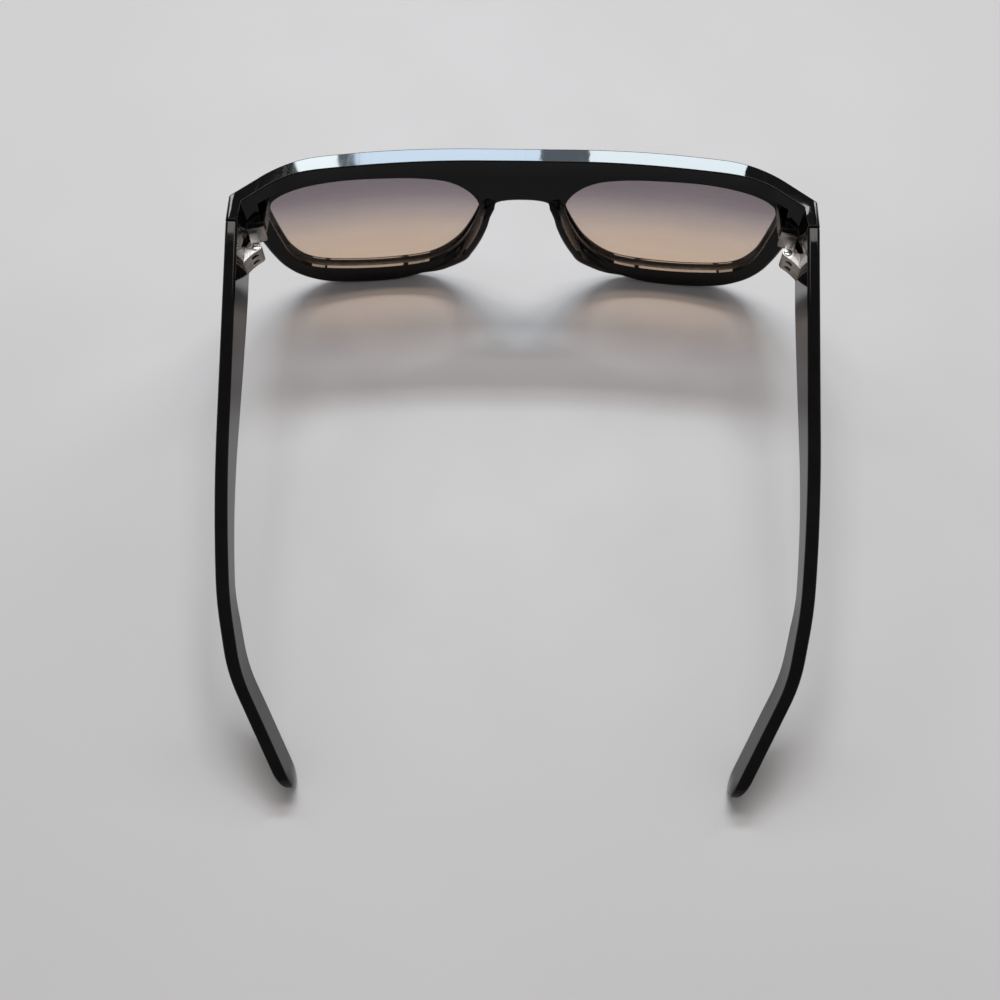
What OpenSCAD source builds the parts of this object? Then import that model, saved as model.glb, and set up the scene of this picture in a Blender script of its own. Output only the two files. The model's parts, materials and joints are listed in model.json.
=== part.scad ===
// Oversized flat-top sunglasses in black acetate, standing open on the rims and the temple tips.
// The front faces -Y, the wearer's left is +X and +Z is up. All sizes are in millimetres.
// Everything is drawn with the front upright, and stand() then leans it back onto its tips.

/* [Front] */
// Thickness of the sheet that the front is cut from
front_t = 4.1; // [3.9:0.1:4.8]
// Width of the flat middle of the front
flat_w = 24; // [16:1:28]
// Radius that each rim wraps round
wrap_r = 270; // [230:5:400]
// Height of the brow above the lens openings
brow_h = 5.9; // [5:0.1:8]
// Height of the rims below the lens openings
lower_rim_h = 7; // [6:0.1:10]
// Width of the rim beside the temple
side_rim_w = 3.9; // [3.4:0.1:4.6]
// Width of the rim beside the nose
nasal_rim_w = 3.2; // [3:0.1:4]
// Height of the bridge over the nose
bridge_h = 15.8; // [12:0.1:18]
// Depth of the flat that each rim stands on
foot_cut = 0.3; // [0.2:0.05:0.6]
// Wall of acetate over the lens groove, under the swept band of the brow
groove_wall = 0.6; // [0.4:0.1:1]

/* [Lenses] */
// Width of each lens opening
eye_w = 55.4; // [53:0.1:56]
// Height of each lens opening
eye_h = 37.3; // [32:0.1:40]
// Distance between the lens openings at the nose
eye_gap = 22.8; // [21.6:0.1:24]
// Thickness of a lens
lens_t = 2; // [1.6:0.1:2.2]
// Distance from the front of the rim to the front of the lens
lens_setback = 1.05; // [0.8:0.05:1.3]
// Depth of the groove that holds the lens
groove_d = 0.9; // [0.6:0.1:1.2]

/* [Nose pads] */
// Distance that a nose pad stands behind the rim, where it is highest
pad_reach = 4.4; // [3:0.1:5]
// Radius of the rounded crest of a nose pad
pad_crest_r = 0.95; // [0.8:0.05:1.2]
// Half the width of a nose pad at its foot
pad_foot_r = 1.45; // [1.3:0.05:1.5]

/* [End pieces] */
// Distance that an end piece stands out past the side of the rim
end_overhang = 2.55; // [1.5:0.05:3]
// Wall of the end piece beside the temple
arm_t = 3.1; // [3:0.1:4]
// Thickness of the brow where it bends back
band_t = 3.3; // [2.8:0.1:3.8]
// Distance from the side of the front to where the brow starts to bend
bend_inset = 23.25; // [20:0.05:25]
// Radius of the bend in the brow
bend_r = 31; // [26:0.5:34]
// Angle that the end piece sweeps back to, from the front plane
sweep_a = 41; // [36:0.5:46]
// Height of the end piece
end_h = 16.6; // [14:0.1:18]
// Height of the slanting facet over each outer top corner
facet_h = 10; // [7:0.5:12]
// Height of the hinge seat above and below the hinge
seat_margin = 1.5; // [1:0.1:2]
// Distance from the inside of the swept brow back to the hinge seat
seat_behind = 0.5; // [0.3:0.05:1.2]
// Angle that the seat faces outward by
seat_a = 15; // [8:1:20]

/* [Temples] */
// Length of a temple, along its top edge to the tip
temple_len = 139.5; // [125:0.5:150]
// Thickness of a temple
temple_t = 3.1; // [3:0.1:4]
// Height of a temple at the hinge
temple_h = 15.8; // [14:0.1:17]
// Height of a temple at its slimmest, before the ear bend
neck_h = 7.6; // [6.5:0.1:9]
// Height of the temple tip
tip_h = 9.8; // [8:0.1:12]
// Length of the straight part, from the seam to the ear bend
shaft_len = 90; // [80:1:96]
// Angle between the temple and a line square to the front
panto_a = 9.5; // [6:0.5:12]
// Step from the top of the front down to the top of the temple
top_step = 0.3; // [0.1:0.1:0.6]
// Angle of the ear bend
ear_a = 21; // [14:0.5:30]
// Radius of the ear bend
ear_r = 28; // [20:1:40]
// Angle that the straight part closes in by
toe_in_a = 2.6; // [1:0.1:4]
// Angle that the shaft curves in by before the tip
curve_in_a = 6; // [3:0.1:7]
// Length of the curve before the ear bend, and after its start
curve_before = 36; // [30:1:40]
curve_after = 16; // [12:1:20]
// Angle that the tip turns in by
tip_in_a = 16.5; // [8:0.5:20]
// Distance from the ear bend to that turn, and the turn's length
turn_start = 17; // [14:1:20]
turn_len = 10; // [6:1:14]
// Length that the tip keeps its full height over
tip_full = 16; // [12:1:20]
// Radius of the rounded edges of a temple
temple_edge_r = 0.8; // [0.5:0.1:1.2]
// Gap at the seam between the end piece and the temple
seam_gap = 0.15; // [0.1:0.05:0.4]

/* [Core wires] */
// Height of the flat steel wire inside a temple
wire_h = 2; // [1.4:0.1:2.6]
// Thickness of the wire
wire_t = 1.1; // [0.8:0.1:1.4]
// Radius of its rounded edges
wire_edge_r = 0.4; // [0.2:0.05:0.4]
// Distance from the seam to the start of the wire
wire_start = 14; // [13:0.5:24]
// Distance from the end of the wire to the tip
wire_stop = 9; // [7:0.5:16]

/* [Hinges] */
// Height of the hinge, five knuckles
hinge_h = 5.2; // [4.6:0.1:6]
// Distance from the top of the front down to the top of the hinge
hinge_drop = 9.8; // [8.8:0.1:10.4]
// Radius of a knuckle
knuckle_r = 1.4; // [1.3:0.05:1.6]
// Distance from the inner face of the temple to the hinge axis
pivot_inset = 2.85; // [2.5:0.05:3.1]
// Distance from the seam back to the hinge axis
pivot_back = 0.5; // [0.3:0.1:1]
// Distance from the hinge axis forward to the seat of the front leaf
leaf_reach = 5.6; // [5:0.1:6.6]
// Distance that the front leaf reaches past the hinge axis, away from the temple
leaf_lap = 1.25; // [0.9:0.05:1.5]
// Width of the legs that carry the front knuckles, where they leave the leaf
leg_w = 2; // [1.6:0.1:2.4]
// Thickness of the hinge plates
plate_t = 0.9; // [0.8:0.05:1.1]
// Length of the plate on the temple
temple_plate_len = 5.6; // [5:0.1:7]
// Distance from the temple's end to its plate
plate_start = 0.7; // [0.4:0.05:1]
// Depth that the temple plate is sunk into the temple
plate_sink = 0.6; // [0.4:0.05:0.8]
// Length of the curved web that carries the temple's knuckles
web_len = 5.8; // [5:0.1:6]
// Distance that the slots for the front knuckles run past them into the web
slot_run = 1.6; // [0.4:0.1:1.7]
// Depth of the anchors that hold the hinge in the acetate
anchor_d = 1.3; // [0.9:0.1:1.5]
// Diameter of the anchors in the temple
anchor_w = 1.6; // [1.2:0.1:2]
// Distance from the edges of the front leaf to its anchor
anchor_margin = 0.5; // [0.3:0.05:0.8]

/* [Screws] */
// Diameter of the screw shank
screw_d = 1.4; // [1.2:0.05:1.6]
// Diameter of the screw head
screw_head_d = 2.1; // [1.9:0.05:2.3]
// Height of the screw head
screw_head_h = 0.6; // [0.4:0.05:0.8]
// Width of the slot in the head
slot_w = 0.4; // [0.25:0.05:0.5]

/* [Fits] */
// Gap between the lens and its groove
lens_fit = 0.05; // [0.02:0.01:0.1]
// Gap between the sunk metal and the acetate
sink_fit = 0.03; // [0.02:0.01:0.08]
// Gap round the screw, and between knuckles
hinge_fit = 0.05; // [0.02:0.01:0.08]

/* [Hidden] */

// Colours
acetate = [0.05, 0.05, 0.055];
lens_tint = [0.5, 0.42, 0.42, 0.6];
steel = [0.78, 0.77, 0.75];
wire_grey = [0.55, 0.56, 0.58];

// Roundness of bores and of the large wrap cylinders
bore_fn = 48;
wrap_fn = 720;
// Points between two points of an outline, and along the bend in the brow
outline_steps = 5;
bend_steps = 8;
// Margin that every cut runs past what it cuts
past = 1;

// Heights on the upright front
front_h = lower_rim_h + eye_h + brow_h;
eye_cz = lower_rim_h + eye_h / 2;
eye_cx = eye_gap / 2 + eye_w / 2;
bridge_z = front_h - bridge_h;
end_z = front_h - end_h;
facet_z = front_h - facet_h;
side_x = eye_gap / 2 + eye_w + side_rim_w + end_overhang;
wall_x = side_x - arm_t;

// Anchors along the temple plate, as shares of its length
anchor_places = [0.3, 0.78];
// Web of the temple leaf: where it leaves the knuckle, and the point that its curve is drawn to
web_a = 121;
web_pull = [pivot_inset / 2, web_len / 2];
web_steps = 4;

// The bend in the brow: where it starts, the angle there, and its centre
bend_x = side_x - bend_inset;
bend_a = asin((bend_x - flat_w / 2) / wrap_r);
bend_c = [bend_x - bend_r * sin(bend_a), plan_y(bend_x) + bend_r * cos(bend_a)];
inner_r = bend_r - band_t;

// The seat of the front leaf behind the swept brow, the hinge axis behind it, and the seam
seat_y = sweep_to(inner_r, wall_x)[1] + seat_behind;
pivot_x = wall_x - pivot_inset;
pivot_y = seat_y + leaf_reach;
end_depth = pivot_y - pivot_back;
hinge_z1 = front_h - hinge_drop;
hinge_z0 = hinge_z1 - hinge_h;
pitch_z = hinge_h / 5;
leaf_x = [pivot_x - leaf_lap, wall_x - 2 * hinge_fit];

// A point of the seat's face in plan, at the given x and distance behind it
function seat_point(x, behind) = [x, seat_y - (wall_x - x) * tan(seat_a) + behind];
// A slab along the seat between two values of x, from one distance behind it to another
function seat_slab(x0, x1, d0, d1) = [seat_point(x0, d0), seat_point(x1, d0),
    seat_point(x1, d1), seat_point(x0, d1)];

// Front surface of the wrapped sheet, seen from above, or the surface at a depth in it
function plan_y(x, depth = 0) = let (d = max(0, abs(x) - flat_w / 2))
    wrap_r - sqrt(pow(wrap_r - depth, 2) - d * d);

// A point of a circle about the bend's centre, at an angle from straight ahead
function bend_point(r, a) = [bend_c[0] + r * sin(a), bend_c[1] - r * cos(a)];

// The swept line past the bend, at radius r, carried on to the given x
function sweep_to(r, x) = let (p = bend_point(r, sweep_a)) [x, p[1] + (x - p[0]) * tan(sweep_a)];

// Smooth curve through points: one point, then the whole closed or open curve
function curve_point(a, b, c, d, t) = b + t * ((c - a) / 2
    + t * ((2 * a - 5 * b + 4 * c - d) / 2 + t * (3 * b - 3 * c + d - a) / 2));
function closed_curve(p, n) = let (m = len(p)) [for (i = [0:m - 1], k = [0:n - 1])
    curve_point(p[(i + m - 1) % m], p[i], p[(i + 1) % m], p[(i + 2) % m], k / n)];
function open_curve(p, n) = let (m = len(p)) concat([for (i = [0:m - 2], k = [0:n - 1])
    curve_point(p[max(i - 1, 0)], p[i], p[i + 1], p[min(i + 2, m - 1)], k / n)], [p[m - 1]]);

// A closed outline, which runs clockwise, grown outward by d
function grown(p, d) = let (m = len(p)) [for (i = [0:m - 1])
    let (v = p[(i + 1) % m] - p[(i + m - 1) % m]) p[i] + d * [-v[1], v[0]] / norm(v)];

// The right half of a plan or a front view, with its mirror image added
function both_halves(p) = concat(p, [for (i = [len(p) - 1:-1:0]) [-p[i][0], p[i][1]]]);

// Lens opening: shares of its half width and half height, clockwise from the nose
eye_shape = [[-1, 0.31], [-0.93, 0.62], [-0.75, 0.85], [-0.49, 0.95], [-0.11, 0.99], [0.32, 1],
    [0.68, 0.93], [0.91, 0.77], [1, 0.5], [0.96, -0.03], [0.88, -0.5], [0.7, -0.82],
    [0.32, -0.97], [-0.11, -1], [-0.48, -0.9], [-0.74, -0.58], [-0.91, -0.13]];
eye_outline = closed_curve([for (p = eye_shape) [eye_cx + p[0] * eye_w / 2, eye_cz + p[1] * eye_h / 2]],
    outline_steps);

// Outside of the rim: from the side, down and round to the nose, then over the bridge
rim_shape = [[0.99, -0.09], [0.94, -0.31], [0.87, -0.53], [0.76, -0.72], [0.6, -0.87], [0.42, -0.95],
    [0.22, -0.99], [0.04, -1], [-0.14, -0.98], [-0.32, -0.91], [-0.49, -0.815],
    [-0.74, -0.535], [-0.83, -0.34], [-0.91, -0.105], [-0.965, 0.125], [-1, 0.31]];
function rim_point(p) = [eye_cx + p[0] * (eye_w / 2 + (p[0] > 0 ? side_rim_w : nasal_rim_w)),
    eye_cz + p[1] * (p[1] < 0 ? eye_cz : eye_h / 2)];
nose_x = rim_point(rim_shape[len(rim_shape) - 1])[0];
// Rounded corner under the end piece, then the arch as shares of nose_x and of its depth
corner_in = 0.7;
corner_down = 2.5;
arch_depth = 1;
arch_shape = [[0.76, 1], [0.42, 0.2], [0, 0]];
rim_corner = [[side_x, end_z], [side_x - corner_in, end_z - corner_down]];
rim_outline = open_curve(concat(rim_corner, [for (p = rim_shape) rim_point(p)],
    [for (p = arch_shape) [p[0] * nose_x, bridge_z - p[1] * arch_depth]]), outline_steps);
// Right half of the front's outline, from the bridge round to the middle of the brow
half_outline = concat([for (i = [len(rim_outline) - 1:-1:0]) rim_outline[i]],
    [[side_x, front_h], [0, front_h]]);

// A nose pad runs along the rim from this point of rim_shape, with these heights as shares of its reach
pad_from = 9;
pad_rise = [0.02, 0.19, 0.69, 0.86, 1, 0.97, 0.67, 0.05];
pad_heights = open_curve(pad_rise, outline_steps);
// Least share of its width that the pad keeps, and how soon it widens as it rises
pad_narrow = 0.4;
pad_widen = 3;
// Distance from the side of the rim to the pad, and the bond behind the rim
pad_margin = 0.05;
pad_bond = 0.01;
// Section of the pad: a foot on the rim, and a round crest above its nose side
pad_crest = [pad_crest_r - pad_foot_r, pad_reach - pad_crest_r];
pad_lean = 2 * atan(-pad_crest[0] / pad_crest[1]);
pad_steps = 7;
pad_section = concat([[-pad_foot_r, 0]], [for (i = [pad_steps:-1:0])
    let (a = pad_lean + i * (180 - pad_lean) / pad_steps) pad_crest + pad_crest_r * [cos(a), sin(a)]],
    [[pad_foot_r, 0]]);
// The section at a point of the rim's outline, with its foot on the back of the sheet
function pad_ring(i) = let (k = (pad_from + len(rim_corner)) * outline_steps + i, h = pad_heights[i],
    v = rim_outline[k + 1] - rim_outline[k - 1], lensward = [v[1], -v[0]] / norm(v),
    wide = min(1, pad_narrow + pad_widen * h), p = rim_outline[k] + (pad_foot_r + pad_margin) * lensward)
    [for (q = pad_section) let (at = p + q[0] * wide * lensward)
        [at[0], plan_y(at[0], front_t) + pad_bond + h * q[1], at[1]]];

// Temple: how far along a ramp, and the area under that ramp
function ramp(s, a, b) = min(1, max(0, (s - a) / (b - a)));
function ramp_area(s, a, b) = s < a ? 0 : s < b ? (s - a) * (s - a) / (2 * (b - a)) : s - (a + b) / 2;
function smooth(t) = t * t * (3 - 2 * t);

ear_arc = ear_r * ear_a * PI / 180;
ear_end = shaft_len + ear_arc;
tip_r = tip_h / 2;
// Stretches from the seam over which the shaft curves in, the tip turns in, and the height swells
curve_in_s = [shaft_len - curve_before, shaft_len + curve_after];
tip_in_s = [shaft_len + turn_start, shaft_len + turn_start + turn_len];
swell_s = [shaft_len, temple_len - tip_full];
temple_y = end_depth + seam_gap;
temple_z = front_h - top_step;
// Shares of the thickness and of the height that are left at the very end of the tip
tip_thin = 0.45;
tip_blunt = 0.16;
// Largest share of the height that an edge radius may take
edge_share = 0.42;

// Downward angle of the temple's top edge at a distance s from the seam
function heading(s) = panto_a + ear_a * ramp(s, shaft_len, ear_end);
// Top outer edge of the temple, from the front's own frame
function edge_y(s) = s <= shaft_len ? s * cos(panto_a)
    : s <= ear_end ? edge_y(shaft_len) + ear_r * (sin(heading(s)) - sin(panto_a))
    : edge_y(ear_end) + (s - ear_end) * cos(heading(s));
function edge_drop(s) = s <= shaft_len ? s * sin(panto_a)
    : s <= ear_end ? edge_drop(shaft_len) + ear_r * (cos(panto_a) - cos(heading(s)))
    : edge_drop(ear_end) + (s - ear_end) * sin(heading(s));
function edge_in(s) = s * tan(toe_in_a) + ramp_area(s, curve_in_s[0], curve_in_s[1]) * tan(curve_in_a)
    + ramp_area(s, tip_in_s[0], tip_in_s[1]) * tan(tip_in_a);
function edge_point(s) = [side_x - edge_in(s), temple_y + edge_y(s), temple_z - edge_drop(s)];
// Height of the temple, and the tilt of its cross-section, which is upright at the seam
function height_at(s) = neck_h + (temple_h - neck_h) * (1 - smooth(ramp(s, 0, shaft_len)))
    + (tip_h - neck_h) * smooth(ramp(s, swell_s[0], swell_s[1]));
function tilt_at(s) = heading(s) * ramp(s, 0, temple_h);
// Share of the full section that is left towards the rounded tip
function tip_share(s) = sqrt(max(0, 1 - pow(max(0, s - (temple_len - tip_r)) / tip_r, 2)));
// A point of the section at s: u inward from the outer face, v down from the top edge
function section_point(s, u, v) = edge_point(s) + [-u, -v * sin(tilt_at(s)), -v * cos(tilt_at(s))];

// Rounded rectangle of the given half sizes, as [across, down] from its centre
function round_rect(a, b, r, n) = [for (q = [0:3], k = [0:n])
    let (t = 90 * q + 90 * k / n, sx = (q == 0 || q == 3) ? 1 : -1, sy = q < 2 ? 1 : -1)
    [sx * (a - r) + r * cos(t), sy * (b - r) + r * sin(t)]];
function temple_ring(s) = let (h = height_at(s), k = max(tip_share(s), tip_blunt),
    kt = tip_thin + (1 - tip_thin) * k)
    [for (p = round_rect(temple_t / 2 * kt, h / 2 * k, min(temple_edge_r, edge_share * h * k) * kt, 3))
    section_point(s, temple_t / 2 + p[0], h / 2 + p[1])];
function wire_ring(s, gap) = [for (p = round_rect(wire_t / 2 + gap, wire_h / 2 + gap, wire_edge_r, 1))
    section_point(s, temple_t / 2 + p[0], height_at(s) / 2 + p[1])];

// Places of the cross-sections: near the seam, along the shaft, past the ear bend, round the tip
seam_stations = [0, 4, 8, 12, 16];
run_steps = 8;
tip_angles = [20, 38, 54, 68, 80];
function steps_to(a, b, n) = [for (i = [1:n]) a + i * (b - a) / n];
temple_stations = concat(seam_stations, steps_to(seam_stations[4], shaft_len, run_steps),
    steps_to(shaft_len, temple_len - tip_r, run_steps),
    [for (a = tip_angles) temple_len - tip_r + tip_r * sin(a)]);
wire_steps = 20;
function wire_stations(gap) = let (a = wire_start - gap, b = temple_len - wire_stop + gap)
    concat([a], steps_to(a, b, wire_steps));

// The lean that rests both the rims and the tips on one plane
tip_s = temple_len - tip_r;
tip_centre = section_point(tip_s, temple_t / 2, tip_h / 2);
foot_y = plan_y(eye_cx) + front_t;
tip_reach = [tip_centre[1] - foot_y, tip_centre[2] - foot_cut];
lean_a = atan2(tip_reach[1], tip_reach[0]) - asin(tip_r / norm(tip_reach));
// Depth from the foremost edge to the tips, to centre the origin under the part
tip_back_y = foot_y + (tip_centre[1] - foot_y) * cos(lean_a) + tip_centre[2] * sin(lean_a) + tip_r;
nose_front_y = foot_y - foot_y * cos(lean_a) + lower_rim_h * sin(lean_a);
centre_y = (tip_back_y + nose_front_y) / 2;

// Leans the upright part back about its feet and centres it
module stand() {
    translate([0, foot_y - centre_y, 0])
        rotate([-lean_a, 0, 0])
            translate([0, -foot_y, -foot_cut])
                children();
}

// Draws a left-hand piece as it is, or its mirror image on the right
module side(s) {
    if (s == "right")
        mirror([1, 0, 0]) children();
    else
        children();
}

// Skin over rings of points that all have the same count
module swept(rings) {
    n = len(rings[0]);
    m = len(rings);
    points = [for (r = rings, p = r) p];
    walls = [for (i = [0:m - 2], k = [0:n - 1]) [i * n + k, i * n + (k + 1) % n, (i + 1) * n + (k + 1) % n]];
    others = [for (i = [0:m - 2], k = [0:n - 1]) [i * n + k, (i + 1) * n + (k + 1) % n, (i + 1) * n + k]];
    caps = [[for (k = [n - 1:-1:0]) k], [for (k = [0:n - 1]) (m - 1) * n + k]];
    polyhedron(points, concat(walls, others, caps));
}

// Extrudes a front view outline through the whole depth of the end pieces
module front_cut(outline) {
    translate([0, end_depth + past, 0])
        rotate([90, 0, 0])
            linear_extrude(end_depth + 2 * past)
                polygon(outline);
}

// Sheet that is flat in the middle and wraps round at both sides
module wrapped_sheet(setback, t) {
    h = front_h + 2 * past;
    translate([-flat_w / 2, setback, -past])
        cube([flat_w, t, h]);
    for (s = ["left", "right"])
        side(s)
            intersection() {
                translate([flat_w / 2, wrap_r, -past])
                    difference() {
                        cylinder(r = wrap_r - setback, h = h, $fn = wrap_fn);
                        translate([0, 0, -past])
                            cylinder(r = wrap_r - setback - t, h = h + 2 * past, $fn = wrap_fn);
                    }
                translate([flat_w / 2, -past, -past])
                    cube([side_x, end_depth, h]);
            }
}

// Outer limit of the front, which cuts the facets over the outer top corners
module front_limit() {
    straight = [0, plan_y(bend_x) - bend_x * tan(bend_a)];
    back = end_depth + past;
    top = concat([straight], [for (i = [0:bend_steps])
        bend_point(bend_r, bend_a + i * (sweep_a - bend_a) / bend_steps)],
        [sweep_to(bend_r, side_x), [side_x, back]]);
    low = [straight, [side_x, straight[1] + side_x * tan(bend_a)], [side_x, back]];
    hull() {
        translate([0, 0, front_h])
            linear_extrude(past)
                polygon(both_halves(top));
        translate([0, 0, -past])
            linear_extrude(facet_z + past)
                polygon(both_halves(low));
    }
}

// End piece: the swept band of the brow, the wall beside the temple and the hinge seat
module end_piece() {
    start_y = plan_y(bend_x) + front_t / 2;
    brow_z = front_h - brow_h + groove_d + groove_wall;
    wall = [[side_x, end_depth], [wall_x, end_depth], sweep_to(inner_r, wall_x)];
    band = concat([[bend_x, start_y], [side_x, start_y]], wall, [for (i = [bend_steps:-1:0])
        bend_point(inner_r, bend_a + i * (sweep_a - bend_a) / bend_steps)]);
    translate([0, 0, brow_z])
        linear_extrude(front_h - brow_z)
            polygon(band);
    solid_x = eye_cx + eye_w / 2 + lens_fit;
    solid_y = plan_y(solid_x) + front_t / 2;
    translate([0, 0, end_z])
        linear_extrude(front_h - end_z)
            polygon(concat([[solid_x, solid_y], [side_x, solid_y]], wall, [sweep_to(inner_r, solid_x)]));
    seat_x = leaf_x[0] - anchor_margin;
    seat_front = sweep_to(inner_r, seat_x)[1] - seat_point(seat_x, 0)[1];
    translate([0, 0, hinge_z0 - seat_margin])
        linear_extrude(hinge_h + 2 * seat_margin)
            polygon(seat_slab(seat_x, side_x - arm_t / 2, seat_front, 0));
}

// Anchor of the front leaf inside its seat, or the pocket for it when grown by a gap
module front_anchor(gap) {
    translate([0, 0, hinge_z0 + pitch_z - gap])
        linear_extrude(hinge_h - 2 * pitch_z + 2 * gap)
            polygon(seat_slab(leaf_x[0] + anchor_margin - gap, leaf_x[1] - anchor_margin + gap,
                -anchor_d - gap, plate_t / 2));
}

module front_frame() {
    color(acetate)
        difference() {
            stand()
                difference() {
                    intersection() {
                        union() {
                            difference() {
                                intersection() {
                                    wrapped_sheet(0, front_t);
                                    front_cut(both_halves(half_outline));
                                }
                                for (s = ["left", "right"])
                                    side(s) front_cut(eye_outline);
                            }
                            for (s = ["left", "right"])
                                side(s) end_piece();
                        }
                        front_limit();
                    }
                    for (s = ["left", "right"])
                        side(s) {
                            lens_solid(groove_d + lens_fit, lens_fit);
                            front_anchor(sink_fit);
                        }
                }
            translate([-2 * side_x, -2 * side_x, -past])
                cube([4 * side_x, 4 * side_x, past]);
        }
}

// Lens-shaped slice of the wrapped sheet, grown past the opening and thickened by a gap
module lens_solid(grow, gap) {
    intersection() {
        wrapped_sheet(lens_setback - gap, lens_t + 2 * gap);
        front_cut(grown(eye_outline, grow));
    }
}

module lens(s) {
    color(lens_tint)
        stand()
            side(s)
                lens_solid(groove_d, 0);
}

// Pad bonded to the back of the nasal rim, in line with its nose side
module nose_pad(s) {
    color(acetate)
        stand()
            side(s)
                swept([for (i = [0:len(pad_heights) - 1]) pad_ring(i)]);
}

module temple(s) {
    color(acetate)
        stand()
            side(s)
                difference() {
                    swept([for (d = temple_stations) temple_ring(d)]);
                    swept([for (d = wire_stations(hinge_fit)) wire_ring(d, hinge_fit)]);
                    temple_plate(sink_fit);
                }
}

module core_wire(s) {
    color(wire_grey)
        stand()
            side(s)
                swept([for (d = wire_stations(0)) wire_ring(d, 0)]);
}

// A solid that stands on the hinge axis between two knuckle levels, counted from the bottom
module at_level(level, gap) {
    translate([pivot_x, pivot_y, hinge_z0 + level * pitch_z + gap])
        linear_extrude(pitch_z - 2 * gap)
            children();
}

// Bore through every knuckle
module screw_bore() {
    translate([pivot_x, pivot_y, hinge_z0 - past])
        cylinder(d = screw_d + 2 * hinge_fit, h = hinge_h + 2 * past, $fn = bore_fn);
}

// Front leaf: a plate on the seat, its anchor, and two knuckles on legs
module front_hinge(s) {
    leg_in = seat_point(leaf_x[1] - leg_w, plate_t / 2) - [pivot_x, pivot_y];
    leg_out = seat_point(leaf_x[1], plate_t / 2) - [pivot_x, pivot_y];
    color(steel)
        stand()
            side(s)
                difference() {
                    union() {
                        translate([0, 0, hinge_z0])
                            linear_extrude(hinge_h)
                                polygon(seat_slab(leaf_x[0], leaf_x[1], 0, plate_t));
                        front_anchor(0);
                        for (level = [1, 3])
                            at_level(level, hinge_fit) {
                                circle(knuckle_r, $fn = bore_fn);
                                polygon([leg_in, leg_out, [knuckle_r, 0], [-knuckle_r, 0]]);
                            }
                    }
                    screw_bore();
                }
}

// Plate on the temple and its two anchors, or the pocket for them when grown by a gap
module temple_plate(gap) {
    plate_x = wall_x + plate_sink - plate_t;
    start_y = temple_y + plate_start;
    translate([plate_x - gap, start_y - gap, hinge_z0 - gap])
        cube([plate_t + 2 * gap, temple_plate_len + 2 * gap, hinge_h + 2 * gap]);
    for (k = anchor_places)
        translate([plate_x + plate_t / 2, start_y + k * temple_plate_len, hinge_z0 + hinge_h / 2])
            rotate([0, 90, 0])
                cylinder(d = anchor_w + 2 * gap, h = plate_t / 2 + anchor_d + gap, $fn = bore_fn);
}

// Web of the temple leaf in plan, about the hinge axis: from the knuckle in a curve to the plate's end
module temple_web() {
    web_x = pivot_inset + plate_sink - plate_t / 2;
    web_from = knuckle_r * [cos(web_a), sin(web_a)];
    web_end = [web_x, web_len];
    circle(knuckle_r, $fn = bore_fn);
    polygon(concat([[0, 0], [web_x, temple_y + plate_start - pivot_y]],
        [for (i = [web_steps:-1:0]) let (t = i / web_steps)
        (1 - t) * (1 - t) * web_from + 2 * t * (1 - t) * web_pull + t * t * web_end]));
}

// Temple leaf: a sunk plate, and the web with three knuckles and two slots between them
module temple_hinge(s) {
    color(steel)
        stand()
            side(s)
                difference() {
                    union() {
                        temple_plate(0);
                        difference() {
                            translate([pivot_x, pivot_y, hinge_z0])
                                linear_extrude(hinge_h)
                                    temple_web();
                            for (level = [1, 3])
                                at_level(level, 0)
                                    circle(knuckle_r + slot_run, $fn = bore_fn);
                        }
                    }
                    screw_bore();
                    translate([pivot_x, pivot_y, hinge_z1 - screw_head_h - hinge_fit])
                        cylinder(d = screw_head_d + 2 * hinge_fit, h = pitch_z, $fn = bore_fn);
                }
}

// Slotted screw through all five knuckles, flush with the top and the bottom
module hinge_screw(s) {
    color(steel)
        stand()
            side(s)
                translate([pivot_x, pivot_y, hinge_z0])
                    difference() {
                        union() {
                            cylinder(d = screw_d, h = hinge_h, $fn = bore_fn);
                            translate([0, 0, hinge_h - screw_head_h])
                                cylinder(d = screw_head_d, h = screw_head_h, $fn = bore_fn);
                        }
                        translate([-screw_head_d, -slot_w / 2, hinge_h - screw_head_h / 2])
                            cube([2 * screw_head_d, slot_w, screw_head_h]);
                    }
}

front_frame();
lens("left");  // lens_left
lens("right");  // lens_right
nose_pad("left");  // nose_pad_left
nose_pad("right");  // nose_pad_right
temple("left");  // temple_left
temple("right");  // temple_right
core_wire("left");  // core_wire_left
core_wire("right");  // core_wire_right
front_hinge("left");  // front_hinge_left
front_hinge("right");  // front_hinge_right
temple_hinge("left");  // temple_hinge_left
temple_hinge("right");  // temple_hinge_right
hinge_screw("left");  // hinge_screw_left
hinge_screw("right");  // hinge_screw_right
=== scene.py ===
"""Oversized flat-top sunglasses in gloss black acetate, standing open on the rims and temple tips.

Shapes are worked out in millimetres with the front upright, as in the part's source, and stood()
leans them back and places them in the shared frame, in metres.
"""

import json
import math

import bmesh
import bpy
import numpy as np
from mathutils import Matrix, Vector
from mathutils.geometry import delaunay_2d_cdt


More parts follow.
